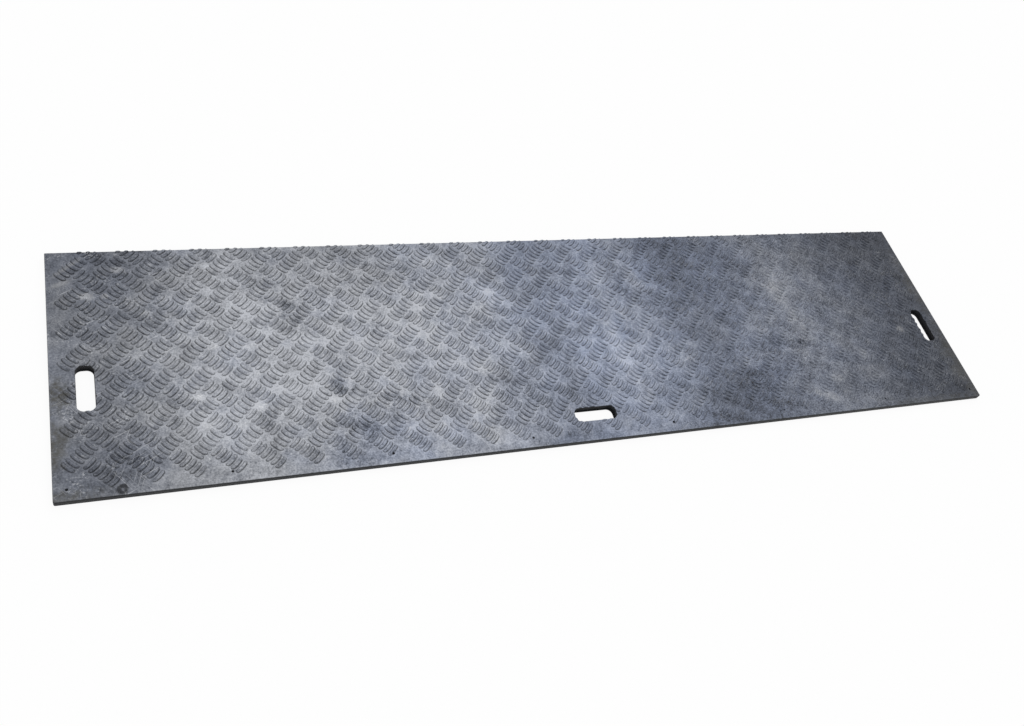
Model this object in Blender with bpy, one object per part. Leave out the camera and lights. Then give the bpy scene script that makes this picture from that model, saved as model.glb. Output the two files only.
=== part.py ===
"""Ground protection mat: one moulded polyethylene sheet with a raised tread, three hand holes and a row of pin holes.

The sheet is made in the order that the real one is: moulded with its tread, sawn to width
along the far edge, then cut through for the hands and the pins.
"""

import math

import bmesh
import bpy
from mathutils import Matrix, Vector

# The sheet, in metres. It lies flat, with its length along X and its underside at Z = 0.
LENGTH = 2.438
WIDTH = 0.625
THICKNESS = 0.015
RIM_EASE = 0.002
CORNER_RADIUS = 0.004
CORNER_STEPS = 4

# The strip that the saw takes off the moulded sheet along its far edge.
SAWN_OFF = 0.080

# The tread: groups of curved bars, laid in two directions like a woven mat.
TREAD_HEIGHT = 0.003
GROUP_PITCH_ALONG = 0.0816
GROUP_PITCH_ACROSS = 0.0805
END_MARGIN = 0.0160
NEAR_MARGIN = 0.0192
BARS_IN_GROUP = 6
BAR_PITCH = 0.0127
BAR_WIDTH = 0.0065
BAR_LENGTH = 0.031
BAR_DRAFT = 0.001
LUG_ROOT = 0.002

# The hand holes: one across each end, and one along the near edge, a little left of mid-length.
HAND_HOLE_LENGTH = 0.113
HAND_HOLE_WIDTH = 0.038
HAND_HOLE_RADIUS = 0.015
HAND_HOLE_STEPS = 8
LEFT_HOLE_FROM_END = 0.0695
RIGHT_HOLE_FROM_END = 0.0605
END_HOLES_FROM_NEAR_EDGE = 0.257
NEAR_HOLE_FROM_NEAR_EDGE = 0.0725
NEAR_HOLE_LEFT_OF_MIDDLE = 0.011

# The pin holes along the near edge, each as a distance from mid-length.
PIN_HOLE_DIAMETER = 0.006
PIN_HOLES_FROM_NEAR_EDGE = 0.025
PIN_HOLES_FROM_MIDDLE = (0.1925, 0.533, 0.878, 1.1935)
PIN_HOLE_SIDES = 12

# How far each cutter reaches past what it cuts.
CUT_CLEARANCE = 0.005

DUSTY_BLACK = (0.120, 0.125, 0.140, 1.0)
DULL_ROUGHNESS = 0.72

LEFT_END = -LENGTH / 2
RIGHT_END = LENGTH / 2
NEAR_EDGE = -WIDTH / 2
FAR_EDGE = WIDTH / 2
TREAD_TOP = THICKNESS + TREAD_HEIGHT
GROUP_LENGTH = (BARS_IN_GROUP - 1) * BAR_PITCH + BAR_WIDTH
DIAGONAL = math.radians(45)


def clear_scene():
    """Removes whatever the scene holds."""
    for old in list(bpy.data.objects):
        bpy.data.objects.remove(old, do_unlink=True)


def object_from(name, shape):
    """Makes a scene object from a bmesh, with its normals facing out."""
    bmesh.ops.recalc_face_normals(shape, faces=shape.faces)
    mesh = bpy.data.meshes.new(name)
    shape.to_mesh(mesh)
    shape.free()
    made = bpy.data.objects.new(name, mesh)
    bpy.context.scene.collection.objects.link(made)
    return made


def arc(centre, radius, start, end, steps):
    """Points of an arc between two angles in radians, both ends included."""
    return [
        centre + radius * Vector((math.cos(angle), math.sin(angle)))
        for angle in (start + (end - start) * step / steps for step in range(steps + 1))
    ]


def rounded_rectangle(length, width, radius, steps):
    """Corner points of a rectangle with rounded corners, anticlockwise about the origin."""
    points = []
    for quarter in range(4):
        across = 1 if quarter in (0, 3) else -1
        up = 1 if quarter < 2 else -1
        centre = Vector((across * (length / 2 - radius), up * (width / 2 - radius)))
        start = quarter * math.pi / 2
        points += arc(centre, radius, start, start + math.pi / 2, steps)
    return points


def add_prism(shape, outline, bottom, top):
    """Adds an upright prism with this plan outline to a bmesh and returns its top face."""
    base = shape.faces.new([shape.verts.new((*point, bottom)) for point in outline])
    raised = bmesh.ops.extrude_face_region(shape, geom=[base])["geom"]
    lifted = [item for item in raised if isinstance(item, bmesh.types.BMVert)]
    bmesh.ops.translate(shape, verts=lifted, vec=(0, 0, top - bottom))
    return next(item for item in raised if isinstance(item, bmesh.types.BMFace))


def moulded_sheet():
    """The sheet as moulded: full width, with an eased upper rim and rounded near corners."""
    moulded_far_edge = FAR_EDGE + SAWN_OFF
    corner_y = NEAR_EDGE + CORNER_RADIUS
    left_corner = Vector((LEFT_END + CORNER_RADIUS, corner_y))
    right_corner = Vector((RIGHT_END - CORNER_RADIUS, corner_y))
    outline = [Vector((LEFT_END, moulded_far_edge))]
    outline += arc(left_corner, CORNER_RADIUS, math.pi, 1.5 * math.pi, CORNER_STEPS)
    outline += arc(right_corner, CORNER_RADIUS, -math.pi / 2, 0, CORNER_STEPS)
    outline.append(Vector((RIGHT_END, moulded_far_edge)))
    shape = bmesh.new()
    top = add_prism(shape, outline, 0, THICKNESS)
    bmesh.ops.bevel(
        shape,
        geom=list(top.edges),
        offset=RIM_EASE,
        offset_type="OFFSET",
        segments=1,
        profile=0.5,
        affect="EDGES",
    )
    return object_from("mat", shape)


def group_centres():
    """Yields the centre and the turn of each bar group, from the near left corner.

    Groups sit on every other point of a half-pitch grid. The columns alternate between bars
    that fall and bars that rise towards the right, and the far row is left for the saw.
    """
    reach = (GROUP_LENGTH + BAR_LENGTH) / 2 * math.cos(DIAGONAL)
    first = Vector((LEFT_END + END_MARGIN + reach, NEAR_EDGE + NEAR_MARGIN + reach))
    last_x = RIGHT_END - END_MARGIN - reach
    columns = 1 + int((last_x - first.x) / (GROUP_PITCH_ALONG / 2) + 1e-6)
    rows = 1 + int((FAR_EDGE - first.y) / (GROUP_PITCH_ACROSS / 2) + 1e-6)
    for column in range(columns):
        for row in range(rows):
            if (column + row) % 2:
                step = Vector((column * GROUP_PITCH_ALONG / 2, row * GROUP_PITCH_ACROSS / 2))
                yield first + step, DIAGONAL if column % 2 == 0 else -DIAGONAL


def tread_lugs():
    """One low drafted lug for each group of bars, rooted in the sheet."""
    half = Vector((GROUP_LENGTH / 2, BAR_LENGTH / 2))
    outline = [Vector((x * half.x, y * half.y)) for x, y in ((-1, -1), (1, -1), (1, 1), (-1, 1))]
    top_scale = Vector((1 - BAR_DRAFT / half.x, 1 - BAR_DRAFT / half.y, 1))
    shape = bmesh.new()
    for centre, turn in group_centres():
        placed = Matrix.Translation((*centre, 0)) @ Matrix.Rotation(turn, 4, "Z")
        top = add_prism(shape, outline, THICKNESS - LUG_ROOT, TREAD_TOP)
        corners = list(top.verts)
        for vert in corners:
            vert.co = Vector(a * b for a, b in zip(vert.co, top_scale))
        base = {other for vert in corners for edge in vert.link_edges for other in edge.verts}
        bmesh.ops.transform(shape, matrix=placed, verts=list(base.union(corners)))
    return object_from("tread_lugs", shape)


def saw_block():
    """The strip along the far edge that the saw takes off."""
    shape = bmesh.new()
    outline = [
        Vector((LEFT_END - CUT_CLEARANCE, FAR_EDGE)),
        Vector((RIGHT_END + CUT_CLEARANCE, FAR_EDGE)),
        Vector((RIGHT_END + CUT_CLEARANCE, FAR_EDGE + SAWN_OFF + CUT_CLEARANCE)),
        Vector((LEFT_END - CUT_CLEARANCE, FAR_EDGE + SAWN_OFF + CUT_CLEARANCE)),
    ]
    add_prism(shape, outline, -CUT_CLEARANCE, TREAD_TOP + CUT_CLEARANCE)
    return object_from("saw_cut", shape)


def hand_hole_cutters():
    """Prisms for the three hand holes, each with rounded corners."""
    end_y = NEAR_EDGE + END_HOLES_FROM_NEAR_EDGE
    places = (
        (LEFT_END + LEFT_HOLE_FROM_END, end_y, math.pi / 2),
        (RIGHT_END - RIGHT_HOLE_FROM_END, end_y, math.pi / 2),
        (-NEAR_HOLE_LEFT_OF_MIDDLE, NEAR_EDGE + NEAR_HOLE_FROM_NEAR_EDGE, 0),
    )
    plan = rounded_rectangle(HAND_HOLE_LENGTH, HAND_HOLE_WIDTH, HAND_HOLE_RADIUS, HAND_HOLE_STEPS)
    shape = bmesh.new()
    for x, y, turn in places:
        turned = Matrix.Rotation(turn, 2)
        outline = [turned @ point + Vector((x, y)) for point in plan]
        add_prism(shape, outline, -CUT_CLEARANCE, TREAD_TOP + CUT_CLEARANCE)
    return object_from("hand_hole_cuts", shape)


def pin_hole_cutters():
    """Round prisms for the pin holes, mirrored about mid-length."""
    shape = bmesh.new()
    for side in (-1, 1):
        for distance in PIN_HOLES_FROM_MIDDLE:
            centre = Vector((side * distance, NEAR_EDGE + PIN_HOLES_FROM_NEAR_EDGE))
            ring = arc(centre, PIN_HOLE_DIAMETER / 2, 0, 2 * math.pi, PIN_HOLE_SIDES)[:-1]
            add_prism(shape, ring, -CUT_CLEARANCE, TREAD_TOP + CUT_CLEARANCE)
    return object_from("pin_hole_cuts", shape)


def combine(target, helper, operation):
    """Joins a helper to the target or cuts it away, and hides the helper."""
    modifier = target.modifiers.new(helper.name, "BOOLEAN")
    modifier.object = helper
    modifier.operation = operation
    modifier.solver = "EXACT"
    helper.hide_render = True
    helper.display_type = "WIRE"


def black_polyethylene():
    """Dull recycled polyethylene, black under its grey dust."""
    material = bpy.data.materials.new("black_polyethylene")
    material.use_nodes = True
    shader = material.node_tree.nodes["Principled BSDF"]
    shader.inputs["Base Color"].default_value = DUSTY_BLACK
    shader.inputs["Roughness"].default_value = DULL_ROUGHNESS
    shader.inputs["Metallic"].default_value = 0.0
    material.diffuse_color = DUSTY_BLACK
    return material


def main():
    """Builds the mat."""
    clear_scene()
    mat = moulded_sheet()
    mat.data.materials.append(black_polyethylene())
    combine(mat, tread_lugs(), "UNION")
    for cutter in (saw_block(), hand_hole_cutters(), pin_hole_cutters()):
        combine(mat, cutter, "DIFFERENCE")


main()
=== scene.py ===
"""Ground protection mat: one moulded sheet of dusty black polyethylene with a woven bar tread.

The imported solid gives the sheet's box. Here the same sheet is made again with every tread
bar on it, finished as weathered recycled polyethylene, and set in a plain pale studio.
"""

import logging
import math
from dataclasses import dataclass, field
from enum import Enum
from typing import Any

import bmesh
import bpy
import numpy as np
from mathutils import Euler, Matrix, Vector
from numpy.typing import NDArray


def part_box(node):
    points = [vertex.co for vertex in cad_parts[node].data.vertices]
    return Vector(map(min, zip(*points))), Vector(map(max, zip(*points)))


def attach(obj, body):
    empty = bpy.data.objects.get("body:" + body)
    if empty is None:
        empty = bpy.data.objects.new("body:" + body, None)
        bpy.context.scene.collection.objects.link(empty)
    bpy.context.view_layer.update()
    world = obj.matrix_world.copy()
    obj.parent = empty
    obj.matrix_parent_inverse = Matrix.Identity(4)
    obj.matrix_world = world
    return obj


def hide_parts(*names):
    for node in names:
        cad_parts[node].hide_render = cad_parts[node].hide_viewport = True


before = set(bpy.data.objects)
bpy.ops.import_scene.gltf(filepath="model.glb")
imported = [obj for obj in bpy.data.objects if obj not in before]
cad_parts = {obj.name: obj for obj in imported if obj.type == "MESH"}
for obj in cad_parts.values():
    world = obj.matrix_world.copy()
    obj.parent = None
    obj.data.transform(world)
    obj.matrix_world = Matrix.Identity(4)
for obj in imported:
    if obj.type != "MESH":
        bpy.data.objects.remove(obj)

Array = NDArray[np.float64]
MeshParts = tuple[Array, list[tuple[int, ...]]]

MM = 0.001
TEAR_SIZES = (12 * MM, 24 * MM, 50 * MM)

log = logging.getLogger("ground_mat")


class Lean(Enum):
    """Which way a tread bar runs to the right, seen from above with the sawn edge at the top."""

    FALLING = -1.0
    RISING = 1.0


def linear(colour: str) -> tuple[float, float, float, float]:
    """Turns an sRGB hex colour into linear RGBA.

    Args:
        colour: Six hex digits after a hash sign.

    Returns:
        Red, green, blue and an alpha of 1.
    """
    shares = (int(colour[i : i + 2], 16) / 255 for i in (1, 3, 5))
    red, green, blue = (s / 12.92 if s <= 0.04045 else ((s + 0.055) / 1.055) ** 2.4 for s in shares)
    return red, green, blue, 1.0


def add_node(tree: Any, kind: str, sockets: dict[Any, Any] | None = None, **settings: Any) -> Any:
    """Adds one node to a shader tree.

    Args:
        tree: The node tree.
        kind: The node's type name.
        sockets: Input name or number, to a value or to the output that feeds it.
        settings: Properties of the node itself.

    Returns:
        The new node.
    """
    node = tree.nodes.new(kind)
    for name, value in settings.items():
        setattr(node, name, value)
    for key, value in (sockets or {}).items():
        if isinstance(value, bpy.types.NodeSocket):
            tree.links.new(value, node.inputs[key])
        else:
            node.inputs[key].default_value = value
    return node


def maths(tree: Any, operation: str, *values: Any, clamp: bool = False) -> Any:
    """Works out one number in a shader tree.

    Args:
        tree: The node tree.
        operation: The Math node's operation.
        values: Numbers or sockets, in the node's order.
        clamp: Whether the result is kept from 0 to 1.

    Returns:
        The result's socket.
    """
    sockets = dict(enumerate(values))
    return add_node(tree, "ShaderNodeMath", sockets, operation=operation, use_clamp=clamp).outputs[0]


def vector_maths(tree: Any, operation: str, *values: Any) -> Any:
    """Works out one vector, or a dot product or length, in a shader tree.

    Args:
        tree: The node tree.
        operation: The Vector Math node's operation.
        values: Vectors or sockets, in the node's order.

    Returns:
        The result's socket.
    """
    node = add_node(tree, "ShaderNodeVectorMath", dict(enumerate(values)), operation=operation)
    return node.outputs["Value" if operation in ("DOT_PRODUCT", "LENGTH") else "Vector"]


def fade(tree: Any, value: Any, low: float, high: float, start: Any = 0.0, end: Any = 1.0) -> Any:
    """Goes smoothly from one number to another while a value passes a range.

    A smooth step never leaves its two ends, so it needs no clamp.

    Args:
        tree: The node tree.
        value: The value's socket.
        low: Where the change begins.
        high: Where it ends.
        start: The result below the range, a number or a socket.
        end: The result above it, likewise.

    Returns:
        The result's socket.
    """
    sockets = {"Value": value, "From Min": low, "From Max": high, "To Min": start, "To Max": end}
    node = add_node(tree, "ShaderNodeMapRange", sockets, interpolation_type="SMOOTHSTEP", clamp=False)
    return node.outputs["Result"]


def cloud(tree: Any, place: Any, size: float, detail: float = 3.0) -> Any:
    """Cloudy noise that swings about half a unit round zero.

    Args:
        tree: The node tree.
        place: Coordinates in metres.
        size: Size of its largest blots.
        detail: How many finer layers it holds.

    Returns:
        The noise's socket.
    """
    sockets = {"Vector": place, "Scale": 1 / size, "Detail": detail, "Roughness": 0.6}
    return maths(tree, "SUBTRACT", add_node(tree, "ShaderNodeTexNoise", sockets).outputs[0], 0.5)


def blend(tree: Any, share: Any, first: Any, second: Any) -> Any:
    """Mixes two colours.

    Args:
        tree: The node tree.
        share: How much of the second shows.
        first: A colour or its socket.
        second: A colour or its socket.

    Returns:
        The mixed colour's socket.
    """
    return add_node(tree, "ShaderNodeMix", {0: share, 6: first, 7: second}, data_type="RGBA").outputs[2]


def mesh_from(name: str, parts: MeshParts, smooth: Array | bool) -> Any:
    """Makes a mesh from points and faces.

    Args:
        name: The mesh's name.
        parts: Points, and faces as tuples of point numbers.
        smooth: One value for all faces, or one for each.

    Returns:
        The mesh.
    """
    points, faces = parts
    mesh = bpy.data.meshes.new(name)
    mesh.from_pydata(points.tolist(), [], faces)
    flags = np.broadcast_to(np.asarray(smooth, dtype=bool), len(faces))
    mesh.polygons.foreach_set("use_smooth", np.ascontiguousarray(flags))
    mesh.update()
    return mesh


def add_object(name: str, mesh: Any) -> Any:
    """Puts a mesh into the scene as an object at the origin.

    Args:
        name: The object's name.
        mesh: Its mesh.

    Returns:
        The object.
    """
    made = bpy.data.objects.new(name, mesh)
    bpy.context.scene.collection.objects.link(made)
    return made


def stacked(outlines: Array, heights: Array) -> MeshParts:
    """Closes a stack of plan outlines into a solid.

    Outline k lies level at height k, and point i of it joins point i of the outlines above
    and below. The first and last outlines are closed by one face each.

    Args:
        outlines: Anticlockwise outlines, as (levels, points, 2).
        heights: One height for each level, from the lowest up.

    Returns:
        Points and outward faces.
    """
    levels, count = outlines.shape[:2]
    rise = np.broadcast_to(np.asarray(heights)[:, None, None], (levels, count, 1))
    points = np.concatenate([outlines, rise], axis=2).reshape(-1, 3)
    number = np.arange(levels * count).reshape(levels, count)
    after = np.roll(number, -1, axis=1)
    walls = np.stack([number[:-1], after[:-1], after[1:], number[1:]], axis=2).reshape(-1, 4)
    faces = [tuple(face) for face in walls.tolist()]
    faces.append(tuple(number[0, ::-1].tolist()))
    faces.append(tuple(number[-1].tolist()))
    return points, faces


def merged(parts: list[MeshParts]) -> MeshParts:
    """Puts several sets of points and faces into one.

    Args:
        parts: The sets.

    Returns:
        All the points, and the faces with their numbers moved on to match.
    """
    starts = np.cumsum([0] + [len(points) for points, _ in parts])
    faces = [
        tuple(number + int(start) for number in face)
        for start, (_, own) in zip(starts, parts)
        for face in own
    ]
    return np.concatenate([points for points, _ in parts]), faces


@dataclass(frozen=True)
class RoundedOutline:
    """A rectangle with a radius of its own at each corner.

    Attributes:
        centre: Its middle, in metres.
        size: Its extents along X and Y.
        radii: Corner radii, anticlockwise from the far right corner.
        steps: Straight pieces in each corner.
    """

    centre: tuple[float, float]
    size: tuple[float, float]
    radii: tuple[float, float, float, float]
    steps: int = 8

    def inset(self, distance: float) -> Array:
        """Points of the outline moved in by a distance, or out by a negative one.

        Each corner is an arc whose radius shrinks by the inset, down to a hair, and whose
        centre sits that radius in from both sides, so all insets match point by point.

        Args:
            distance: How far in, in metres.

        Returns:
            Anticlockwise points, as (points, 2).
        """
        reach = np.maximum(np.asarray(self.radii) - distance, 0.02 * MM)[:, None]
        signs = np.array([(1, 1), (-1, 1), (-1, -1), (1, -1)])
        half = np.asarray(self.size) / 2 - distance
        corners = np.asarray(self.centre) + signs * (half - reach)
        sweep = np.linspace(0, np.pi / 2, self.steps + 1)
        angles = np.arange(4)[:, None] * np.pi / 2 + sweep
        arcs = np.stack([np.cos(angles) * reach, np.sin(angles) * reach], axis=2)
        return (corners[:, None, :] + arcs).reshape(-1, 2)


@dataclass(frozen=True)
class SheetBox:
    """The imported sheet's box, and where the flat face under the tread lies.

    Attributes:
        left: Lowest X.
        right: Highest X.
        near: Lowest Y, the moulded long edge.
        far: Highest Y, the sawn long edge.
        face: Height of the flat upper face.
        top: Height of the tread.
    """

    left: float
    right: float
    near: float
    far: float
    face: float
    top: float

    @classmethod
    def of_node(cls, node: str, tread_height: float) -> "SheetBox":
        """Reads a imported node's box.

        Args:
            node: The node's name.
            tread_height: How far the tread stands above the flat face.

        Returns:
            The box.
        """
        low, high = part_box(node)
        return cls(low.x, high.x, low.y, high.y, high.z - tread_height, high.z)


@dataclass
class TreadBar:
    """One raised, bowed bar with drafted sides and rounded ends.

    Attributes:
        length: From end to end.
        width: Across the foot, where it meets the sheet.
        height: Above the sheet.
        bow: How far the middle is bowed towards the near edge.
        root: How far the foot is sunk into the sheet.
        stations: Cross-sections along it.
    """

    length: float = 31 * MM
    width: float = 7.5 * MM
    height: float = 3 * MM
    bow: float = 2.3 * MM
    root: float = 0.6 * MM
    stations: int = 6

    def surfaces(self, wear: Array) -> Array:
        """Cross-sections of several bars, each in its own frame.

        Station angles run from -90 to 90 degrees, and the sine of one is its place u from
        -1 to 1 along the bar, so stations crowd at the ends. The width falls by half of u to
        the tenth and the height by a third of u to the twelfth, which rounds the ends. The
        middle line is bow times (u squared - 1/2), a shallow arc.

        Args:
            wear: Share of the full height that each bar keeps.

        Returns:
            Points as (bars, stations, ring, 3): along the bar, across it, and up.
        """
        place = np.sin(np.linspace(-np.pi / 2, np.pi / 2, self.stations))[:, None]
        narrowing = 1 - 0.50 * place**10
        lowering = 1 - 0.33 * place**12
        across = np.array([-0.50, -0.37, -0.22, 0.22, 0.37, 0.50]) * self.width
        share_up = np.array([0.0, 0.70, 1.0, 1.0, 0.70, 0.0])
        spread = np.array([1.0, 0.965, 0.93, 0.93, 0.965, 1.0])
        along = place * spread * self.length / 2
        sideways = across * narrowing + self.bow * (place**2 - 0.5)
        up = share_up * lowering * self.height * wear[:, None, None]
        up = up - self.root * (share_up == 0)
        shape = up.shape
        return np.stack([np.broadcast_to(along, shape), np.broadcast_to(sideways, shape), up], axis=3)


@dataclass
class TreadLayout:
    """The woven grid of bar groups.

    Groups sit on every other point of a half-pitch grid, and their lean changes from one
    column to the next. The grid starts from plain margins at the ends and the near edge,
    and runs off the far edge, where the sheet was sawn.

    Attributes:
        box: The sheet's box.
        bar: The bar that every group repeats.
        pitch_along: From one group to the next of its kind, along the sheet.
        pitch_across: The same, across the sheet.
        end_margin: Plain stretch at each end.
        near_margin: Plain stretch at the near edge.
        bars_in_group: Bars in each group.
        bar_pitch: From one bar to the next in a group.
        outer_bar_width: Width that the margins are measured with.
        least_height: Share of its height that the most worn bar keeps, at the right end.
        least_by_chance: Share that chance leaves at least, anywhere.
        seed: Seed of the bars' small differences in wear.
    """

    box: SheetBox
    bar: TreadBar
    pitch_along: float = 81.6 * MM
    pitch_across: float = 80.5 * MM
    end_margin: float = 16.0 * MM
    near_margin: float = 19.2 * MM
    bars_in_group: int = 6
    bar_pitch: float = 12.7 * MM
    outer_bar_width: float = 6.5 * MM
    least_height: float = 0.80
    least_by_chance: float = 0.86
    seed: int = 7

    def first_centre(self) -> Array:
        """Where the grid's first point lies, at the near left.

        The first bars' outer corners touch the plain margins, so it lies half of a group's
        length and half of a bar's length, both at 45 degrees, in from them.

        Returns:
            The point, as (2,).
        """
        group_length = (self.bars_in_group - 1) * self.bar_pitch + self.outer_bar_width
        reach = (group_length + self.bar.length) / 2 / math.sqrt(2)
        corner = np.array([self.box.left + self.end_margin, self.box.near + self.near_margin])
        return corner + reach

    def grid(self) -> tuple[Array, Array]:
        """The half-pitch grid.

        Returns:
            Its steps along X and Y, and how many columns and rows it has.
        """
        first = self.first_centre()
        step = np.array([self.pitch_along, self.pitch_across]) / 2
        last = np.array([self.box.left + self.box.right - first[0], self.box.far])
        return step, 1 + np.floor((last - first) / step + 1e-6).astype(int)

    def groups(self) -> tuple[Array, Array]:
        """Centres and leans of all groups.

        Returns:
            Centres as (groups, 2), and one Lean value for each.
        """
        step, counts = self.grid()
        column, row = np.meshgrid(np.arange(counts[0]), np.arange(counts[1]), indexing="ij")
        taken = (column + row) % 2 == 1
        places = self.first_centre() + np.stack([column[taken], row[taken]], axis=1) * step
        leans = np.where(column[taken] % 2 == 0, Lean.FALLING.value, Lean.RISING.value)
        return places, leans

    def bar_frames(self) -> tuple[Array, Array, Array]:
        """Where each bar lies and how it is turned.

        A bar runs at 45 degrees, up or down by its group's lean, and the bars of a group are
        stacked square to that.

        Returns:
            Centres, directions along the bars and directions across them, each (bars, 2).
        """
        places, leans = self.groups()
        along = np.stack([np.ones_like(leans), leans], axis=1) / math.sqrt(2)
        across = np.stack([-along[:, 1], along[:, 0]], axis=1)
        steps = (np.arange(self.bars_in_group) - (self.bars_in_group - 1) / 2) * self.bar_pitch
        centres = places[:, None, :] + steps[None, :, None] * across[:, None, :]
        along, across = (np.repeat(way, self.bars_in_group, axis=0) for way in (along, across))
        return centres.reshape(-1, 2), along, across

    def heights(self, centres: Array) -> Array:
        """Share of its height that each bar keeps.

        Traffic has worn the right end most: with s the place from the left end to the right,
        a bar keeps 1 less (1 - least) s squared, times what chance leaves.

        Args:
            centres: The bars' centres.

        Returns:
            One share for each bar.
        """
        place = (centres[:, 0] - self.box.left) / (self.box.right - self.box.left)
        chance = np.random.default_rng(self.seed).uniform(self.least_by_chance, 1.0, len(centres))
        return chance * (1 - (1 - self.least_height) * place**2)

    def bars(self) -> tuple[Array, Array]:
        """All the bars' points in the sheet's own place.

        Returns:
            Points as (bars, stations, ring, 3), and the bars' centres.
        """
        centres, along, across = self.bar_frames()
        local = self.bar.surfaces(self.heights(centres))
        flat = (
            centres[:, None, None, :]
            + local[..., 0:1] * along[:, None, None, :]
            + local[..., 1:2] * across[:, None, None, :]
        )
        return np.concatenate([flat, local[..., 2:3] + self.box.face], axis=3), centres

    def lean_distance(self, tree: Any, place: Any, lean: Lean) -> Any:
        """The distance from the nearest foot of the bars that lean one way.

        The place is divided by the pitch and its whole number kept inside the grid, which
        leaves the place in the nearest group's frame. The place across that group, divided
        by the bar pitch, gives the nearest bar in the same way, and its middle line, bow
        times ((2 along / length) squared - 1/2), is taken off. The foot is a straight strip
        with round ends: the square root of max(|along| - half the strip, 0) squared plus
        across squared, less half the width.

        Args:
            tree: The node tree.
            place: Object coordinates.
            lean: The lean.

        Returns:
            The distance's socket, in metres, negative under a bar.
        """
        bar, (step, counts) = self.bar, self.grid()
        offset = np.array((0, 1) if lean is Lean.FALLING else (1, 0))
        first = np.append(self.first_centre() + offset * step, 0.0)
        pitch = np.append(2 * step, 1.0)
        last = np.append((counts - 1 - offset) // 2, 0.0)
        scaled = vector_maths(tree, "MULTIPLY_ADD", place, tuple(1 / pitch), tuple(0.5 - first / pitch))
        number = vector_maths(tree, "MAXIMUM", vector_maths(tree, "FLOOR", scaled), (0.0, 0.0, 0.0))
        number = vector_maths(tree, "MINIMUM", number, tuple(last))
        rest = vector_maths(tree, "SUBTRACT", scaled, number)
        local = vector_maths(tree, "MULTIPLY_ADD", rest, tuple(pitch), tuple(-pitch / 2))
        half = 1 / math.sqrt(2)
        along = vector_maths(tree, "DOT_PRODUCT", local, (half, lean.value * half, 0.0))
        across = vector_maths(tree, "DOT_PRODUCT", local, (-lean.value * half, half, 0.0))
        count = self.bars_in_group
        scaled = maths(tree, "MULTIPLY_ADD", across, 1 / self.bar_pitch, count / 2)
        number = maths(tree, "MAXIMUM", maths(tree, "FLOOR", scaled), 0.0)
        number = maths(tree, "MINIMUM", number, count - 1.0)
        rest = maths(tree, "SUBTRACT", scaled, number)
        beside = maths(tree, "MULTIPLY_ADD", rest, self.bar_pitch, -self.bar_pitch / 2)
        squared = maths(tree, "MULTIPLY", along, along)
        arc = maths(tree, "MULTIPLY_ADD", squared, -4 * bar.bow / bar.length**2, bar.bow / 2)
        beside = maths(tree, "ADD", beside, arc)
        past = maths(tree, "SUBTRACT", maths(tree, "ABSOLUTE", along), (bar.length - bar.width) / 2)
        past = maths(tree, "MAXIMUM", past, 0.0)
        total = maths(tree, "MULTIPLY_ADD", beside, beside, maths(tree, "MULTIPLY", past, past))
        return maths(tree, "SUBTRACT", maths(tree, "SQRT", total), bar.width / 2)


def bar_mesh(bars: Array) -> MeshParts:
    """Closes bars' cross-sections into solids.

    Args:
        bars: Points as (bars, stations, ring, 3).

    Returns:
        Points and outward faces.
    """
    count, stations, ring = bars.shape[:3]
    number = np.arange(count * stations * ring).reshape(count, stations, ring)
    beside = np.roll(number, -1, axis=2)
    sides = np.stack([number[:, :-1], number[:, 1:], beside[:, 1:], beside[:, :-1]], axis=3)
    faces = [tuple(face) for face in sides.reshape(-1, 4).tolist()]
    faces += [tuple(face) for face in number[:, 0].tolist()]
    faces += [tuple(face) for face in number[:, -1, ::-1].tolist()]
    return bars.reshape(-1, 3), faces


@dataclass(frozen=True)
class HandHole:
    """A slot cut right through the sheet.

    Attributes:
        centre: Its middle.
        size: Its extents along X and Y.
        radius: Of its corners.
    """

    centre: tuple[float, float]
    size: tuple[float, float]
    radius: float = 15 * MM

    def outline(self) -> RoundedOutline:
        """Its plan outline."""
        return RoundedOutline(self.centre, self.size, (self.radius,) * 4)


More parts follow.
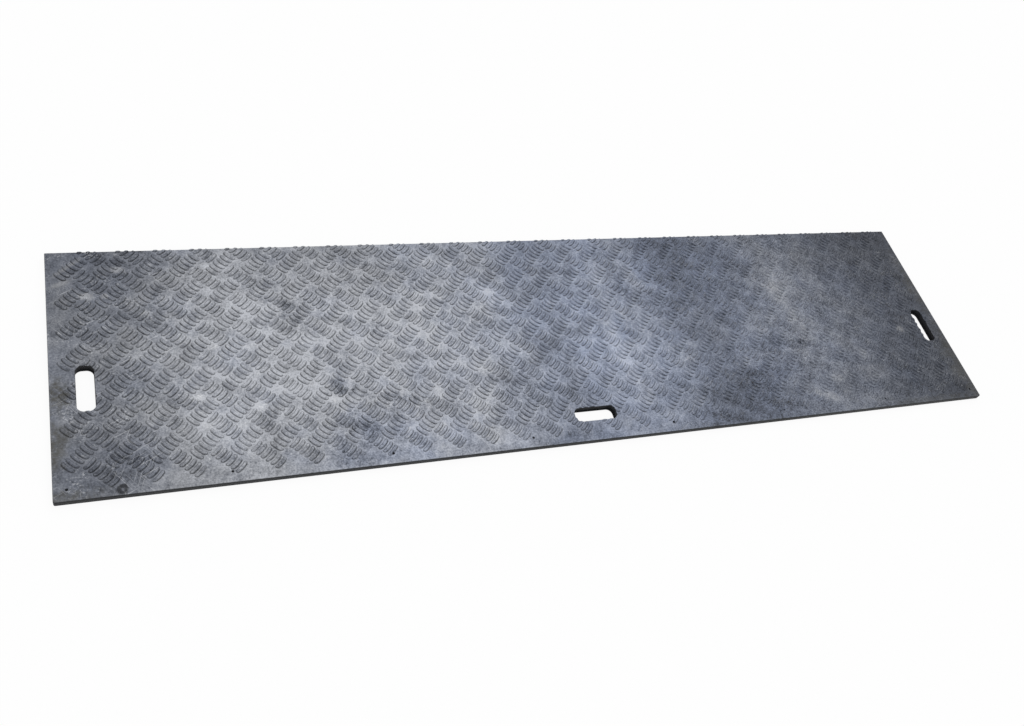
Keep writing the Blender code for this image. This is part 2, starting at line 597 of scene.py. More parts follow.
@dataclass
class TreadSheet:
    """The whole mat: sheet, tread, hand holes and pin holes in one mesh.

    Attributes:
        box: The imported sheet's box.
        tread: The tread's layout.
        rim_radius: Rounding of the moulded upper rim.
        rim_levels: Outlines that make the rounding.
        corner_radius: Plan radius of the two near corners.
        sawn_off: Width of the strip that the saw takes.
        hole_length: Long side of a hand hole.
        hole_width: Short side of a hand hole.
        left_hole_from_end: From the left end to the middle of its hand hole.
        right_hole_from_end: From the right end to the middle of its hand hole.
        end_holes_from_near: From the near edge to the middle of those two.
        near_hole_from_near: From the near edge to the middle of its hand hole.
        near_hole_left_of_middle: From mid-length to the middle of its hand hole.
        broken_edge: Small bevel that handling leaves round a cut.
        pin_diameter: Of a pin hole.
        pins_from_near: From the near edge to the pin holes.
        pins_from_middle: From mid-length to each pair of pin holes.
        clearance: How far cutters reach past what they cut.
        hand_holes: The three hand holes, placed by the lengths above.
    """

    box: SheetBox
    tread: TreadLayout
    rim_radius: float = 2.2 * MM
    rim_levels: int = 5
    corner_radius: float = 4 * MM
    sawn_off: float = 80 * MM
    hole_length: float = 113 * MM
    hole_width: float = 38 * MM
    left_hole_from_end: float = 69.5 * MM
    right_hole_from_end: float = 60.5 * MM
    end_holes_from_near: float = 257 * MM
    near_hole_from_near: float = 72.5 * MM
    near_hole_left_of_middle: float = 11 * MM
    broken_edge: float = 0.5 * MM
    pin_diameter: float = 6 * MM
    pins_from_near: float = 25 * MM
    pins_from_middle: tuple[float, ...] = (192.5 * MM, 533 * MM, 878 * MM, 1193.5 * MM)
    clearance: float = 5 * MM
    hand_holes: list[HandHole] = field(init=False)

    def __post_init__(self) -> None:
        """Places the hand holes in the box."""
        upright = (self.hole_width, self.hole_length)
        level = (self.hole_length, self.hole_width)
        end_y = self.box.near + self.end_holes_from_near
        near_y = self.box.near + self.near_hole_from_near
        self.hand_holes = [
            HandHole((self.box.left + self.left_hole_from_end, end_y), upright),
            HandHole((self.box.right - self.right_hole_from_end, end_y), upright),
            HandHole((-self.near_hole_left_of_middle, near_y), level),
        ]

    def moulded_sheet(self) -> MeshParts:
        """The sheet before it is sawn and cut.

        The side rises straight to the rim, and there the outline's inset and height follow a
        quarter circle: inset is r (1 - cos t), height is face - r + r sin t.

        Returns:
            Points and faces.
        """
        far = self.box.far + self.sawn_off
        middle = ((self.box.left + self.box.right) / 2, (self.box.near + far) / 2)
        size = (self.box.right - self.box.left, far - self.box.near)
        outline = RoundedOutline(middle, size, (self.corner_radius,) * 4)
        turn = np.linspace(0, np.pi / 2, self.rim_levels)
        insets = np.concatenate([[0.0], self.rim_radius * (1 - np.cos(turn))])
        rim = self.box.face - self.rim_radius + self.rim_radius * np.sin(turn)
        heights = np.concatenate([[0.0], rim])
        return stacked(np.stack([outline.inset(inset) for inset in insets]), heights)

    def through_cut(self, outline: RoundedOutline) -> MeshParts:
        """A cutter that flares a little at both faces of the sheet, to break the cut's edges.

        Args:
            outline: The cut's plan outline.

        Returns:
            Points and faces.
        """
        face, flare = self.box.face, self.broken_edge
        levels = [
            (-self.clearance, flare),
            (0.0, flare),
            (flare, 0.0),
            (face - flare, 0.0),
            (face, flare),
            (self.box.top + self.clearance, flare),
        ]
        outlines = np.stack([outline.inset(-wider) for _, wider in levels])
        return stacked(outlines, np.array([height for height, _ in levels]))

    def cutters(self) -> MeshParts:
        """The saw's waste strip, the hand holes and the pin holes as one set of cutters.

        Returns:
            Points and faces.
        """
        reach = self.sawn_off + self.clearance
        strip = RoundedOutline(
            ((self.box.left + self.box.right) / 2, self.box.far + reach / 2),
            (self.box.right - self.box.left + 2 * self.clearance, reach),
            (0.0,) * 4,
            steps=1,
        )
        heights = np.array([-self.clearance, self.box.top + self.clearance])
        parts = [stacked(np.stack([strip.inset(0.0)] * 2), heights)]
        parts += [self.through_cut(hole.outline()) for hole in self.hand_holes]
        pin = (self.pin_diameter,) * 2
        for side in (-1, 1):
            for distance in self.pins_from_middle:
                place = (side * distance, self.box.near + self.pins_from_near)
                ring = RoundedOutline(place, pin, (self.pin_diameter / 2,) * 4, steps=4)
                parts.append(self.through_cut(ring))
        return merged(parts)

    def reached_by_cuts(self, centres: Array) -> Array:
        """Which bars lie near enough to a cut to need trimming.

        Args:
            centres: The bars' centres.

        Returns:
            One flag for each bar.
        """
        reach = self.tread.bar.length / 2 + self.clearance
        found = centres[:, 1] > self.box.far - reach
        for hole in self.hand_holes:
            apart = np.abs(centres - np.asarray(hole.centre)) - np.asarray(hole.size) / 2
            found |= (apart < reach).all(axis=1)
        pins = np.array([side * place for side in (-1, 1) for place in self.pins_from_middle])
        beside = np.abs(centres[:, :1] - pins).min(axis=1) < reach
        low = centres[:, 1] - self.box.near < self.pins_from_near + reach
        return found | (beside & low)

    @staticmethod
    def cut(target: Any, cutter: Any) -> Any:
        """Takes a cutter's space out of an object.

        Args:
            target: The object, which is used up.
            cutter: The object whose space goes.

        Returns:
            The mesh that is left.
        """
        modifier = target.modifiers.new("cut", "BOOLEAN")
        modifier.object = cutter
        modifier.operation = "DIFFERENCE"
        modifier.solver = "EXACT"
        graph = bpy.context.evaluated_depsgraph_get()
        left = bpy.data.meshes.new_from_object(target.evaluated_get(graph))
        bpy.data.objects.remove(target)
        return left

    def build(self) -> Any:
        """Makes the mat as one object.

        Returns:
            The object, at the origin.
        """
        bars, centres = self.tread.bars()
        trimmed = self.reached_by_cuts(centres)
        cutter = add_object("cutter", mesh_from("cutter", self.cutters(), False))
        sheet_parts = self.moulded_sheet()
        rounded = np.ones(len(sheet_parts[1]), dtype=bool)
        rounded[-2:] = False
        sheet = add_object("sheet", mesh_from("sheet", sheet_parts, rounded))
        ends = add_object("cut_bars", mesh_from("cut_bars", bar_mesh(bars[trimmed]), True))
        meshes = [
            self.cut(sheet, cutter),
            self.cut(ends, cutter),
            mesh_from("whole_bars", bar_mesh(bars[~trimmed]), True),
        ]
        bpy.data.objects.remove(cutter)
        shape = bmesh.new()
        for mesh in meshes:
            shape.from_mesh(mesh)
        joined = bpy.data.meshes.new("tread_sheet")
        shape.to_mesh(joined)
        shape.free()
        joined.calc_loop_triangles()
        log.info(
            "tread sheet: %d bars, %d of them trimmed, %d triangles",
            len(bars),
            trimmed.sum(),
            len(joined.loop_triangles),
        )
        return add_object("tread_sheet", joined)


@dataclass(frozen=True)
class Patch:
    """A soft-edged place on the sheet.

    Attributes:
        along: Its middle, from the left end.
        across: Its middle, from the near edge.
        half_along: Half its length.
        half_across: Half its width.
        strength: How much it adds to what it marks, or takes away where it is negative.
        turn: How far its length is turned anticlockwise from X, in degrees.
        ragged: How much noise tears its outline, from 0 to about 2.
    """

    along: float
    across: float
    half_along: float
    half_across: float
    strength: float
    turn: float = 0.0
    ragged: float = 0.8


@dataclass(frozen=True)
class Scratches:
    """A field of long thin noise streaks, as dragged loads leave.

    Attributes:
        turn: Their direction, anticlockwise from X, in degrees.
        length: Of a streak.
        width: Of a streak. Real ones are finer, and these are the finest that the eye
            makes out from a few metres.
        strength: How bright they are.
    """

    turn: float
    length: float
    width: float
    strength: float


@dataclass(frozen=True)
class SurfacePoint:
    """Where a shaded point lies, as sockets.

    Attributes:
        tree: The node tree.
        place: Object coordinates.
        along: Distance from the left end.
        across: Distance from the near edge.
        length: The sheet's length.
        width: The sheet's width.
        flat: The two distances as one vector.
        rise: Height above the flat upper face.
        foot: Distance outside the nearest bar's foot.
        upward: How far the face looks up, from -1 to 1.
        lee: How far the face looks to the near left, from -1 to 1.
        back: How far it looks to the far left, likewise.
        edge: Distance from the nearer of the two ends and the near edge.
        tears: Noise of each tear size, which tears the outlines of patches.
    """

    tree: Any
    place: Any
    along: Any
    across: Any
    length: float
    width: float
    flat: Any
    rise: Any
    foot: Any
    upward: Any
    lee: Any
    back: Any
    edge: Any
    tears: tuple[Any, ...]

    @classmethod
    def on_sheet(cls, tree: Any, sheet: TreadSheet, shade_drift: float) -> "SurfacePoint":
        """Adds the nodes that place a point on a sheet.

        Args:
            tree: The node tree.
            sheet: The sheet.
            shade_drift: How far the marks at the bars' feet, the painted crease shade among them,
            lie off them along X and Y, towards the near left of falling bars and the near right
            of rising ones, the sides on which the bars' shade falls.

        Returns:
            The point's sockets.
        """
        box = sheet.box
        place = add_node(tree, "ShaderNodeTexCoord").outputs["Object"]
        axes = add_node(tree, "ShaderNodeSeparateXYZ", {0: place}).outputs
        along = maths(tree, "SUBTRACT", axes["X"], box.left)
        across = maths(tree, "SUBTRACT", axes["Y"], box.near)
        normal = add_node(tree, "ShaderNodeNewGeometry").outputs["Normal"]
        from_right = maths(tree, "SUBTRACT", box.right, axes["X"])
        ends = maths(tree, "MINIMUM", along, from_right)
        half = math.sqrt(0.5)
        feet = []
        for lean in Lean:
            drifted = vector_maths(tree, "ADD", place, (-lean.value * shade_drift, shade_drift, 0.0))
            feet.append(sheet.tread.lean_distance(tree, drifted, lean))
        return cls(
            tree=tree,
            place=place,
            along=along,
            across=across,
            length=box.right - box.left,
            width=box.far - box.near,
            flat=add_node(tree, "ShaderNodeCombineXYZ", {0: along, 1: across}).outputs[0],
            rise=maths(tree, "SUBTRACT", axes["Z"], box.face),
            foot=maths(tree, "MINIMUM", *feet),
            upward=add_node(tree, "ShaderNodeSeparateXYZ", {0: normal}).outputs["Z"],
            lee=vector_maths(tree, "DOT_PRODUCT", normal, (-half, -half, 0.0)),
            back=vector_maths(tree, "DOT_PRODUCT", normal, (-half, half, 0.0)),
            edge=maths(tree, "MINIMUM", ends, across),
            tears=tuple(cloud(tree, place, size, 4.0) for size in TEAR_SIZES),
        )


@dataclass(frozen=True)
class WeatheredPolyethylene:
    """Recycled black polyethylene, compression moulded, after years outdoors.

    The resin itself is near black and waxy. Grey stone dust is trodden into every face that
    looks up, so the sheet reads as blue-grey and dull; its blue tint and its brighter left
    half are partly painted sheen. Only its sides and the walls of the holes stay black. The
    creases at the feet of the bars are dark from bare resin and painted shade, flanks are
    painted lighter or darker by which way they face, and pale lines on the rim and the bars'
    shoulders and tops are partly painted highlights.

    Attributes:
        resin: The bare plastic.
        dust: Dry stone dust.
        blue_dust_and_sheen: Finer dust, whose colour holds a painted blue sheen of the waxy resin.
        soil: Damp brown soil at the ends.
        scuff: Plastic that scraping has turned pale.
        resin_roughness: Of the bare plastic.
        dust_roughness: Of the dust.
        ior: Of polyethylene.
        specular: Level of its reflection, where 0.5 is clean plastic. Pores and dust break
            up more than half of it.
        lengthwise: Place as a share of the sheet's length, dust cover there and share of
        blue dust. The cover's brighter left-middle and darker right end are partly painted sheen.
        wander: Size of the slow noise that shifts those places, and how far it does.
        near_share: Dust cover at the near edge as a share of that in the middle.
        far_share: The same at the sawn edge.
        dust_patches: Where more or less dust lies.
        blue_patches: Where it is bluer than elsewhere.
        pale_marks: The palest scuffs, mostly on the flat places among the bars.
        soil_patches: Where soil lies.
        scratches: Fields of pale scratches.
        wipes: Broad streaks where the dust has been wiped or smeared.
        dust_noise: Blot size, detail and strength of each cloud in the dust.
        grain: How strong the finest of those are at the left end and at the right end.
        shoulder: How far inside its foot a bar's shoulder lies, where a pale line is painted,
            partly tread wear and partly painted highlight.
        shoulder_highlight_and_wear: How much paler that line is at the left and at the right.
        kept_dust_and_fill: Extra cover close beside the bars, and on the flat places among them: dust
        that collects there, and painted light that lifts the shade there.
        trodden_off: Share of the dust that is trodden off the bars' tops.
        thin_blue: How much bluer dust looks that noise or a patch has thinned.
        tint_noise: Size and strength of the clouds in its tint.
        crease: How dark the creases at the bars' feet are at the left and at the right, from bare
        resin and painted shade.
        crease_noise: Size and reach of the clouds that pull the creases' outline.
        crease_gaps: Size and strength of the clouds that break the creases up.
        scuffs: Size of the pale scuffs, of the specks that they are made of, and strength.
        rubs_and_highlights: Size and strength of the pale rubbing on the bars' tops, partly wear and
            partly
        painted highlight.
        scratched: Size of the places that the scratches keep to.
        rim_wear_and_highlight: How pale the moulded rim is painted, partly rubbed wear and partly
            painted
        highlight.
        soil_speckle: Size and strength of the specks that the soil is made of.
        tearing: How far noise pulls a ragged outline, in half sizes of its patch.
        ring_mark: Middle of the dark ring-shaped mark beside a pin hole.
        ring_radius: Its radius.
        ring_noise: Size and reach of the clouds that break it.
        pins_from_near: From the near edge to the pin holes, which silt has half filled.
        shade_drift: How far the marks at the bars' feet, the painted crease shade among them, lie off
        them, towards the near side, where the bars' shade falls.
        pebble: Size of the moulded skin's pebble.
        dent: Size of its broad shallow dents.
        relief_height: How high the bump stands.
        saw_pitch: From one of the saw's marks to the next.
        saw_length: Length of one of them.
        saw_slant: How far those lean from upright, in degrees.
        sawn_depth: How far in from the far edge the sawn face begins and is whole.
    """

    resin: str = "#141518"
    dust: str = "#bdc0c7"
    blue_dust_and_sheen: str = "#acb7d0"
    soil: str = "#4a4840"
    scuff: str = "#d8dade"
    resin_roughness: float = 0.62
    dust_roughness: float = 0.92
    ior: float = 1.53
    specular: float = 0.20
    lengthwise: tuple[tuple[float, float, float], ...] = (
        (0.00, 0.29, 0.40), (0.05, 0.35, 0.30), (0.10, 0.55, 0.12), (0.15, 0.72, 0.06),
        (0.24, 0.71, 0.06), (0.34, 0.71, 0.22), (0.42, 0.67, 0.38), (0.46, 0.51, 0.80),
        (0.53, 0.57, 0.85), (0.60, 0.51, 0.80), (0.66, 0.31, 0.92), (0.72, 0.33, 0.97),
        (0.79, 0.34, 0.65), (0.83, 0.28, 0.70), (0.92, 0.15, 0.90), (1.00, 0.09, 0.90),
    )
    wander: tuple[float, float] = (160 * MM, 110 * MM)
    near_share: float = 0.87
    far_share: float = 0.84
    dust_patches: tuple[Patch, ...] = (
        Patch(0.130, 0.570, 0.230, 0.180, -0.30),
        Patch(0.110, 0.045, 0.130, 0.090, -0.26),
        Patch(0.047, 0.583, 0.066, 0.008, 0.60, turn=41, ragged=0.3),
        Patch(0.028, 0.534, 0.038, 0.009, 0.60, turn=24, ragged=0.3),
        Patch(0.036, 0.510, 0.060, 0.080, 0.26),
        Patch(0.083, 0.498, 0.022, 0.018, 0.90),
        Patch(0.119, 0.496, 0.012, 0.011, 0.80),
        Patch(0.149, 0.570, 0.020, 0.014, 0.80),
        Patch(0.146, 0.010, 0.050, 0.015, -0.15),
        Patch(0.317, 0.354, 0.035, 0.030, 0.14),
        Patch(0.586, 0.470, 0.050, 0.040, -0.16),
        Patch(0.620, 0.020, 0.120, 0.024, -0.28),
        Patch(0.825, 0.415, 0.035, 0.050, 0.16),
        Patch(0.825, 0.210, 0.030, 0.070, 0.16),
        Patch(0.950, 0.360, 0.050, 0.040, -0.10),
        Patch(0.940, 0.530, 0.090, 0.060, -0.10),
        Patch(0.341, 0.572, 0.016, 0.016, 0.35),
        Patch(0.370, 0.480, 0.080, 0.140, 0.10),
        Patch(0.560, 0.610, 0.460, 0.060, -0.12),
        Patch(0.300, 0.150, 0.060, 0.050, 0.16),
        Patch(0.395, 0.165, 0.050, 0.035, 0.20),
        Patch(0.512, 0.424, 0.032, 0.040, -0.36, ragged=1.3),
        Patch(0.592, 0.212, 0.034, 0.026, -0.46, ragged=1.3),
        Patch(0.640, 0.110, 0.110, 0.075, -0.26, ragged=1.1),
        Patch(0.732, 0.162, 0.045, 0.024, -0.40, turn=-15, ragged=1.3),
        Patch(0.800, 0.360, 0.080, 0.100, 0.10),
        Patch(0.950, 0.240, 0.070, 0.060, 0.12),
        Patch(1.030, 0.150, 0.075, 0.110, -0.26),
        Patch(0.950, 0.045, 0.060, 0.030, 0.14),
        Patch(0.900, 0.075, 0.125, 0.090, 0.20),
        Patch(1.085, 0.008, 0.075, 0.024, -0.34),
        Patch(1.345, 0.250, 0.050, 0.170, 0.42, turn=4, ragged=1.1),
        Patch(1.390, 0.362, 0.035, 0.035, 0.22),
        Patch(1.354, 0.098, 0.045, 0.035, 0.30),
        Patch(1.310, 0.060, 0.055, 0.040, 0.22),
        Patch(1.415, 0.058, 0.040, 0.025, 0.26),
        Patch(1.360, 0.500, 0.045, 0.090, 0.20),
        Patch(1.031, 0.459, 0.018, 0.018, 0.25),
        Patch(1.485, 0.500, 0.050, 0.080, 0.16, turn=-12),
        Patch(1.479, 0.253, 0.030, 0.030, 0.22),
        Patch(1.560, 0.372, 0.050, 0.050, -0.26),
        Patch(1.640, 0.480, 0.130, 0.110, -0.16),
        Patch(1.680, 0.100, 0.175, 0.120, -0.32),
        Patch(1.930, 0.435, 0.090, 0.135, 0.34, turn=-12),
        Patch(1.960, 0.300, 0.060, 0.080, 0.30),
        Patch(1.785, 0.300, 0.060, 0.050, 0.34),
        Patch(2.060, 0.490, 0.060, 0.120, 0.26),
        Patch(1.715, 0.190, 0.050, 0.040, 0.30, turn=20),
        Patch(1.880, 0.225, 0.110, 0.020, -0.26, turn=-6),
        Patch(1.905, 0.057, 0.070, 0.028, 0.55, turn=-25, ragged=1.1),
        Patch(1.970, 0.104, 0.030, 0.022, 0.35),
        Patch(2.110, 0.120, 0.065, 0.050, 0.45),
        Patch(2.060, 0.030, 0.085, 0.040, 0.34),
        Patch(2.107, 0.180, 0.022, 0.030, 0.35),
        Patch(2.286, 0.250, 0.018, 0.016, 1.30),
        Patch(1.580, 0.020, 0.260, 0.040, -0.26),
    )
    blue_patches: tuple[Patch, ...] = (
        Patch(0.700, 0.030, 0.300, 0.120, 0.38),
        Patch(1.600, 0.520, 0.160, 0.150, 0.50),
    )
    pale_marks: tuple[Patch, ...] = (
        Patch(0.292, 0.212, 0.018, 0.010, 1.00),
        Patch(0.302, 0.140, 0.020, 0.016, 0.60),
        Patch(0.377, 0.135, 0.018, 0.016, 0.60),
        Patch(0.418, 0.176, 0.022, 0.018, 0.80),
        Patch(0.421, 0.260, 0.014, 0.014, 0.60),
        Patch(0.418, 0.336, 0.026, 0.011, 0.65, turn=8),
        Patch(0.335, 0.341, 0.016, 0.013, 0.55),
        Patch(0.584, 0.176, 0.018, 0.012, 0.75),
        Patch(0.540, 0.222, 0.018, 0.012, 0.50),
        Patch(0.824, 0.180, 0.020, 0.016, 0.65),
        Patch(0.949, 0.223, 0.026, 0.018, 0.60),
        Patch(0.790, 0.151, 0.012, 0.009, 0.80),
        Patch(0.827, 0.338, 0.018, 0.014, 0.45),
        Patch(0.204, 0.443, 0.016, 0.010, 0.50, turn=30),
    )
    soil_patches: tuple[Patch, ...] = (
        Patch(0.000, 0.125, 0.042, 0.080, 0.75, ragged=1.4),
        Patch(0.016, 0.240, 0.024, 0.055, 0.80, ragged=1.3),
        Patch(0.020, 0.006, 0.090, 0.022, 0.60, ragged=1.4),
        Patch(2.430, 0.110, 0.060, 0.180, 0.45, ragged=1.0),
        Patch(2.425, 0.400, 0.030, 0.180, 0.35, ragged=1.0),
        Patch(2.260, 0.006, 0.200, 0.016, 0.30, ragged=1.2),
    )
    scratches: tuple[Scratches, ...] = (
        Scratches(28.0, 90 * MM, 2.6 * MM, 0.36),
        Scratches(-52.0, 60 * MM, 2.2 * MM, 0.30),
        Scratches(71.0, 45 * MM, 2.0 * MM, 0.26),
    )
    wipes: tuple[Scratches, ...] = (
        Scratches(-16.0, 150 * MM, 24 * MM, 0.70),
        Scratches(62.0, 90 * MM, 14 * MM, 0.50),
    )
    dust_noise: tuple[tuple[float, float, float], ...] = (
        (260 * MM, 3.0, 0.40), (75 * MM, 3.0, 0.85), (24 * MM, 3.0, 0.70), (9 * MM, 2.0, 0.75),
        (4 * MM, 1.0, 1.60),
    )
    grain: tuple[float, float] = (0.92, 1.90)
    shoulder: float = 1.8 * MM
    shoulder_highlight_and_wear: tuple[float, float] = (0.06, 0.28)
    kept_dust_and_fill: tuple[float, float] = (0.20, 0.045)
    trodden_off: float = 0.27
    thin_blue: tuple[float, float] = (0.35, 0.45)
    tint_noise: tuple[float, float] = (90 * MM, 0.9)
    crease: tuple[float, float] = (0.54, 0.12)
    crease_noise: tuple[float, float] = (22 * MM, 1.6 * MM)
    crease_gaps: tuple[float, float] = (28 * MM, 2.4)
    scuffs: tuple[float, float, float] = (34 * MM, 5 * MM, 0.42)
    rubs_and_highlights: tuple[float, float] = (15 * MM, 0.26)
    scratched: float = 110 * MM
    rim_wear_and_highlight: float = 0.06
    soil_speckle: tuple[float, float] = (11 * MM, 3.0)
    tearing: float = 1.6
    ring_mark: tuple[float, float] = (127 * MM, 13 * MM)
    ring_radius: float = 7.5 * MM
    ring_noise: tuple[float, float] = (9 * MM, 11 * MM)
    pins_from_near: float = 25 * MM
    shade_drift: float = 0.4 * MM
    pebble: float = 3.2 * MM
    dent: float = 30 * MM
    relief_height: float = 1.2 * MM
    saw_pitch: float = 1.6 * MM
    saw_length: float = 40 * MM
    saw_slant: float = 24.0
    sawn_depth: tuple[float, float] = (1.0 * MM, 0.2 * MM)

    def material(self, sheet: TreadSheet) -> Any:
        """Builds the material for a sheet.

        Args:
            sheet: The sheet, whose box and tread place the pattern.

        Returns:
            The material.
        """
        made = bpy.data.materials.new("weathered_black_polyethylene")
        made.use_nodes = True
        tree = made.node_tree
        tree.nodes.clear()
        at = SurfacePoint.on_sheet(tree, sheet, self.shade_drift)
        open_and_facing_light = self.open_to_dust_and_facing_light(at)
        cover, blueness = self.dust_cover(at, open_and_facing_light)
        duller = self.dust_roughness - self.resin_roughness
        sockets = {
            "Base Color": self.colour(at, cover, blueness, open_and_facing_light),
            "Roughness": maths(tree, "MULTIPLY_ADD", cover, duller, self.resin_roughness),
            "IOR": self.ior,
            "Specular IOR Level": self.specular,
            "Normal": self.relief(at),
        }
        shader = add_node(tree, "ShaderNodeBsdfPrincipled", sockets)
        add_node(tree, "ShaderNodeOutputMaterial", {"Surface": shader.outputs["BSDF"]})
        return made

    def mark(self, at: SurfacePoint, patch: Patch) -> Any:
        """A soft blot with a torn outline: 1 at its middle, 0 outside.

        The place is measured from the middle, along and across the blot, in half lengths and
        half widths. How far it is away is the root of the sum of both squares.

        Args:
            at: Where the point lies.
            patch: Where the blot lies and how large it is.

        Returns:
            The blot's socket.
        """
        tree, turn = at.tree, math.radians(patch.turn)
        apart = vector_maths(tree, "SUBTRACT", at.flat, (patch.along, patch.across, 0.0))
        lengthways = np.array([math.cos(turn), math.sin(turn), 0.0]) / patch.half_along
        sideways = np.array([-math.sin(turn), math.cos(turn), 0.0]) / patch.half_across
        along = vector_maths(tree, "DOT_PRODUCT", apart, tuple(lengthways))
        across = vector_maths(tree, "DOT_PRODUCT", apart, tuple(sideways))
        squared = maths(tree, "MULTIPLY_ADD", along, along, maths(tree, "MULTIPLY", across, across))
        away = maths(tree, "SQRT", squared)
        half = min(patch.half_along, patch.half_across)
        tear = at.tears[sum(half > 2 * size for size in TEAR_SIZES[:-1])]
        torn = maths(tree, "MULTIPLY_ADD", tear, self.tearing * patch.ragged, away)
        return fade(tree, torn, 0.15, 1.1, 1.0, 0.0)

    def marked(self, at: SurfacePoint, patches: tuple[Patch, ...], base: Any) -> Any:
        """Adds each patch's strength to a value, where the patch lies.

        Args:
            at: Where the point lies.
            patches: The patches.
            base: The value, a number or a socket.

        Returns:
            The sum's socket.
        """
        for patch in patches:
            base = maths(at.tree, "MULTIPLY_ADD", self.mark(at, patch), patch.strength, base)
        return base

    def open_to_dust_and_facing_light(self, at: SurfacePoint) -> Any:
        """How far a face is open to dust and tread, with painted light and shade by which way it faces:
        1 on top, less on flanks, none on sides.

        Flanks that look to the near left are painted lighter, most of all towards the right end,
        as painted light that lifts their shade, and the pin holes are silted up. From mid-length
        on, flanks that look to the far left are painted lighter too and those opposite them
        darker, painted light and shade as from a light on the far side.

        Args:
            at: Where the point lies.

        Returns:
            The share's socket.
        """
        tree = at.tree
        steep = fade(tree, at.upward, 0.10, 0.85, 1.0, 0.0)
        # Painted light that lifts the shade of flanks that look to the near left, strongest towards the
        # right end.
        drifted = fade(tree, at.along, 0.9, 2.1, 0.35, 0.85)
        lee = maths(tree, "MULTIPLY", fade(tree, at.lee, 0.05, 0.50), drifted)
        bare = maths(tree, "SUBTRACT", 0.40, lee)
        # From mid-length on, painted light on flanks that look to the far left, and painted shade on
        # those opposite them.
        begins = fade(tree, at.along, 0.80, 1.60)
        wanes = fade(tree, at.along, 1.80, 2.15, 1.0, 0.25)
        beyond = maths(tree, "MULTIPLY", begins, wanes)
        painted_side_light_and_shade = maths(tree, "MULTIPLY", fade(tree, at.back, -0.6, 0.6, -1.4, 1.4), beyond)
        bare = maths(tree, "SUBTRACT", bare, painted_side_light_and_shade)
        level = maths(tree, "SUBTRACT", 1.0, maths(tree, "MULTIPLY", steep, bare))
        above = fade(tree, at.rise, -1.4 * MM, -0.2 * MM, 0.02, 1.0)
        row = maths(tree, "ABSOLUTE", maths(tree, "SUBTRACT", at.across, self.pins_from_near))
        silted = fade(tree, row, 3.0 * MM, 4.0 * MM, 0.5, 0.0)
        inside = fade(tree, at.edge, 1.0 * MM, 3.0 * MM, 0.0, silted)
        return maths(tree, "MULTIPLY", level, maths(tree, "MAXIMUM", above, inside))

    def creases(self, at: SurfacePoint) -> Any:
        """Dark lines at the feet of the bars: bare resin where dust never settles, and painted shade.

        They are strong at the left and fade towards the right end, where dirt fills them.

        Args:
            at: Where the point lies.

        Returns:
            The darkening's socket, from 0 to 1.
        """
        tree = at.tree
        (pull, reach), (gap, strength) = self.crease_noise, self.crease_gaps
        uneven = maths(tree, "MULTIPLY", cloud(tree, at.place, pull, 2.0), reach)
        foot = maths(tree, "ADD", at.foot, uneven)
        outside = fade(tree, foot, 0.2 * MM, 1.9 * MM, 1.0, 0.0)
        low = fade(tree, at.rise, 0.1 * MM, 1.8 * MM, 1.0, 0.0)
        lengthwise = fade(tree, at.along, 0.80, 2.10, *self.crease)
        clearer = maths(tree, "MULTIPLY_ADD", cloud(tree, at.place, gap), strength, 1.0)
        darkness = maths(tree, "MULTIPLY", lengthwise, clearer, clamp=True)
        return maths(tree, "MULTIPLY", maths(tree, "MULTIPLY", outside, low), darkness)

    def dust_cover(self, at: SurfacePoint, open_and_facing_light: Any) -> tuple[Any, Any]:
        """How much dust lies on each point, and how blue it looks, with painted sheen, light, shade and
        highlights in the cover.

        Both follow curves along the sheet, whose places are shifted by slow noise so that
        their borders wander; those curves hold a painted sheen as well. Named patches, the bars,
        which keep dust and painted light between them, the bars' shoulders with their painted
        highlight, wiped streaks, the creases with their painted shade and noise of five sizes
        then scale the cover. Where less dust is left, and on patches of their own, it looks
        bluer.

        Args:
            at: Where the point lies.
            open_and_facing_light: How far the face is open to dust, with painted light and shade by
                which way
            it faces.

        Returns:
            Sockets of the cover, from 0 to 1, and of the share of blue dust, about 0 to 1.
        """
        tree, (size, reach) = at.tree, self.wander
        shifted = maths(tree, "MULTIPLY_ADD", cloud(tree, at.place, size), reach, at.along)
        share = maths(tree, "DIVIDE", shifted, at.length)
        # Cover along the sheet: dust, and a painted sheen that is brighter at the left-middle.
        ramp = add_node(tree, "ShaderNodeValToRGB", {"Fac": share})
        stops = ramp.color_ramp.elements
        while len(stops) < len(self.lengthwise):
            stops.new(0.5)
        for stop, (position, cover, blueness) in zip(stops, self.lengthwise):
            stop.position = position
            stop.color = (cover, blueness, 0.0, 1.0)
        parts = add_node(tree, "ShaderNodeSeparateColor", {0: ramp.outputs["Color"]})
        far = fade(tree, at.across, 0.36, 0.60, 1.0, self.far_share)
        near = fade(tree, at.across, 0.06, 0.22, self.near_share, 1.0)
        # A pale line along each bar's shoulder: tread wear and a painted highlight.
        inward = maths(tree, "ABSOLUTE", maths(tree, "ADD", at.foot, self.shoulder))
        shoulder = fade(tree, inward, 0.3 * MM, 1.6 * MM, 1.0, 0.0)
        worn = fade(tree, at.along, 0.9, 2.3, *self.shoulder_highlight_and_wear)
